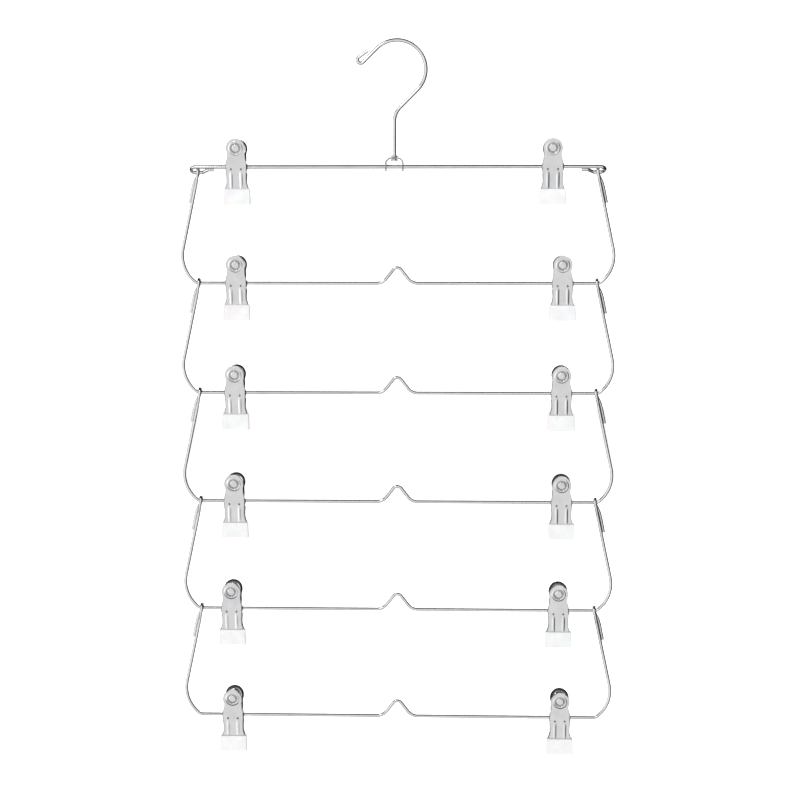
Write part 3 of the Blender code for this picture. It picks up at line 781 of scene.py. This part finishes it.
def make_clips():
    """Models one clip's pieces about the bar's axis and copies them to all twelve places."""
    front = clip_plate("front_plate_pattern", EAR_HALF)
    rear = clip_plate("rear_plate_pattern", EAR_HALF - SHEET - EAR_GAP)
    tip = dipped_tip("tip_pattern")
    coil = wire("coil_pattern", coil_line(), COIL_WIRE, sides=8, end_cut=0.0002)
    front_legs = join("front_legs_pattern", [spring_leg("leg", side, FRONT_LEG_START) for side in (-1, 1)])
    rear_legs = join("rear_legs_pattern", [spring_leg("leg", side, REAR_LEG_START) for side in (-1, 1)])
    for row in range(1, 7):
        for side in ("left", "right"):
            clip = f"clip_{row}_{side}"
            place = Vector(joints[clip + "_swing"]["pos_m"])
            pieces = (("_front_plate", front, False, CHROME_SHEET, "chrome_sheet", "_front", "_front_jaw"),
                      ("_rear_plate", rear, True, CHROME_SHEET, "chrome_sheet", "_rear", "_rear_jaw"),
                      ("_front_tip", tip, False, VINYL, "soft_tip", "_front", None),
                      ("_rear_tip", tip, True, VINYL, "soft_tip", "_rear", None),
                      ("_coil", coil, False, SPRING_STEEL, "spring_steel", "_spring", "_spring"),
                      ("_front_legs", front_legs, False, SPRING_STEEL, "spring_steel", "_front", None),
                      ("_rear_legs", rear_legs, True, SPRING_STEEL, "spring_steel", "_rear", None))
            for name, pattern, turned, mat, slot, body, node_name in pieces:
                nodes = [clip + node_name] if node_name else []
                dress(copy_to(pattern, clip + name, place, turned), mat, slot, clip + body, *nodes)
    for pattern in (front, rear, tip, coil, front_legs, rear_legs):
        bpy.data.objects.remove(pattern)


# ---------------------------------------------------------------- make the pieces
stem_x = joints["hook_swivel"]["pos_m"][0]
bar_height = joints["clip_1_left_swing"]["pos_m"][2]
hook = wire("hook_wire", hook_line(stem_x, bar_height), HOOK_WIRE, sides=24)
dress(hook, CHROME_WIRE, "chrome_wire", "hook", "hook")
plate_under = bar_height + SADDLE_TOP - SADDLE_SHEET - PLAY
plate_over = bar_height + SADDLE_TOP + PLAY
dress(stud("stem_head", stem_x, plate_under - HEAD_HEIGHT, plate_under), CHROME_WIRE, "chrome_wire", "hook")
dress(stud("stem_collar", stem_x, plate_over, plate_over + HEAD_HEIGHT), CHROME_WIRE, "chrome_wire", "hook")
strip = saddle_strip(bar_height)
strip.data.transform(Matrix.Translation((stem_x, 0, 0)))
dress(strip, STRIP_SHEET, "chrome_sheet", "top_bar", "saddle")
bar = wire("top_bar_wire", top_bar_line(bar_height), BAR_WIRE, sides=20)
dress(bar, CHROME_WIRE, "chrome_wire", "top_bar", "top_bar")
for row in range(2, 7):
    pivot = Vector(joints[f"fold_row{row}"]["pos_m"])
    tier = wire(f"tier_wire_row{row}", tier_line(pivot), TIER_WIRE, sides=16)
    dress(tier, CHROME_WIRE, "chrome_wire", f"tier_row{row}", f"frame_row{row}")
make_clips()


# ---------------------------------------------------------------- room, light and camera
def studio_world():
    """White before and behind, brightest on the left, dark between, on the right and above.

    The dark parts give the plated wire its dark lines. The camera itself sees plain white.
    """
    world = bpy.data.worlds.new("white_studio")
    bpy.context.scene.world = world
    world.use_nodes = True
    tree = world.node_tree
    link = tree.links.new
    tree.nodes.clear()
    out = node(tree, "ShaderNodeOutputWorld")
    seen = node(tree, "ShaderNodeBackground", {"Color": (1, 1, 1, 1), "Strength": 1.0})
    lit = node(tree, "ShaderNodeBackground", {"Strength": 1.0})
    path = node(tree, "ShaderNodeLightPath")
    mix = node(tree, "ShaderNodeMixShader")
    place = node(tree, "ShaderNodeTexCoord")
    parts = node(tree, "ShaderNodeSeparateXYZ")
    link(place.outputs["Generated"], parts.inputs["Vector"])
    levels = []
    for axis, stops in BRIGHTNESS.items():
        shift = node(tree, "ShaderNodeMapRange", {"From Min": -1.0, "From Max": 1.0})
        ramp = node(tree, "ShaderNodeValToRGB")
        while len(ramp.color_ramp.elements) < len(stops):
            ramp.color_ramp.elements.new(0.5)
        for stop, (where, level) in zip(ramp.color_ramp.elements, stops):
            stop.position = (where + 1) / 2
            stop.color = (level, level, level, 1)
        link(parts.outputs[axis], shift.inputs["Value"])
        link(shift.outputs["Result"], ramp.inputs["Fac"])
        levels.append(ramp.outputs["Color"])
    flank = node(tree, "ShaderNodeMath", operation="MULTIPLY")
    whole = node(tree, "ShaderNodeMath", operation="MULTIPLY")
    link(levels[0], flank.inputs[0])
    link(levels[1], flank.inputs[1])
    link(flank.outputs["Value"], whole.inputs[0])
    link(levels[2], whole.inputs[1])
    link(whole.outputs["Value"], lit.inputs["Color"])
    link(path.outputs["Is Camera Ray"], mix.inputs["Fac"])
    link(lit.outputs["Background"], mix.inputs[1])
    link(seen.outputs["Background"], mix.inputs[2])
    link(mix.outputs["Shader"], out.inputs["Surface"])


def area_light(name, place, target, size, watts, mirrored):
    """A rectangular soft light; the plating mirrors it only where told to."""
    data = bpy.data.lights.new(name, "AREA")
    data.shape = "RECTANGLE"
    data.size, data.size_y = size
    data.energy = watts
    lamp = bpy.data.objects.new(name, data)
    lamp.location = place
    lamp.rotation_euler = (Vector(target) - Vector(place)).to_track_quat("-Z", "Y").to_euler()
    bpy.context.scene.collection.objects.link(lamp)
    lamp.visible_glossy = mirrored


def pale_paper():
    """Even white paper, a little cloudy."""
    mat, tree, shader, place = new_material("pale_paper")
    cloud = mottled(tree, place.outputs["Object"], 1.2)
    colour = two_tones(tree, cloud, (0.93, 0.93, 0.93), (0.96, 0.96, 0.96))
    tree.links.new(colour.outputs[MIX_OUT], shader.inputs["Base Color"])
    shader.inputs["Roughness"].default_value = 0.7
    shader.inputs["Emission Color"].default_value = (1, 1, 1, 1)
    shader.inputs["Emission Strength"].default_value = 0.80
    return mat


def pale_room():
    """A pale floor, and far round it a pale wall that only the camera sees."""
    paper = pale_paper()
    bpy.ops.mesh.primitive_plane_add(size=2 * WALL_RADIUS, location=(0, 0, FLOOR_Z))
    floor = added("pale_floor")
    bpy.ops.mesh.primitive_cylinder_add(vertices=96, radius=WALL_RADIUS - 0.1, depth=2 * WALL_RADIUS,
                                        end_fill_type="NOTHING",
                                        location=(0, 0, FLOOR_Z + WALL_RADIUS - 0.01))
    wall = added("pale_wall")
    smooth_shade(wall, 30)
    wall.visible_diffuse = False
    wall.visible_shadow = False
    for obj in (floor, wall):
        obj.data.materials.append(paper)
        obj.visible_glossy = False


FLOOR_Z = -0.80
WALL_RADIUS = 6.0
# brightness of the room by direction, each from -1 to 1: front to back, left to right, below to above
BRIGHTNESS = {
    "Y": ((-1.0, 0.95), (-0.45, 0.92), (-0.24, 0.04), (0.30, 0.05), (0.60, 0.80), (1.0, 0.95)),
    "X": ((-1.0, 2.0), (-0.80, 1.9), (-0.50, 1.0), (0.48, 0.97), (0.66, 0.10), (1.0, 0.06)),
    "Z": ((-1.0, 1.0), (-0.60, 1.0), (0.10, 0.98), (0.36, 0.90), (0.62, 0.12), (1.0, 0.06)),
}
# name, place, what it points at, size, watts and whether the plating mirrors it
LIGHTS = (("front_panel", (-0.7, -1.5, 0.9), (0, 0, -0.2), (0.5, 0.5), 5, True),
          ("soft_fill", (0.3, -1.6, 0.1), (0, 0, -0.3), (1.2, 1.2), 6, False),
          ("back_wash", (0, 2.2, 1.2), (0, 1.6, FLOOR_Z), (3.0, 1.5), 40, True))
CAMERA_DISTANCE = 1.40
CAMERA_RISE = 5.0            # degrees
CAMERA_SIDE = 2.3            # degrees to the right
SENSOR = 36                  # millimetres
FIELD = 0.580                # width of the view at the hanger
CENTRE = Vector((0.0022, 0, -0.2565))

studio_world()
pale_room()
for light in LIGHTS:
    area_light(*light)

camera = bpy.data.objects.new("camera", bpy.data.cameras.new("camera"))
bpy.context.scene.collection.objects.link(camera)
rise, side = math.radians(CAMERA_RISE), math.radians(CAMERA_SIDE)
sight = Vector((-math.sin(side) * math.cos(rise), math.cos(side) * math.cos(rise), -math.sin(rise)))
camera.location = CENTRE - sight * CAMERA_DISTANCE
camera.rotation_euler = sight.to_track_quat("-Z", "Y").to_euler()
camera.data.sensor_width = SENSOR
camera.data.lens = SENSOR * CAMERA_DISTANCE / FIELD
camera.data.clip_start = 0.05
bpy.context.scene.camera = camera
bpy.context.scene.view_settings.view_transform = "Standard"
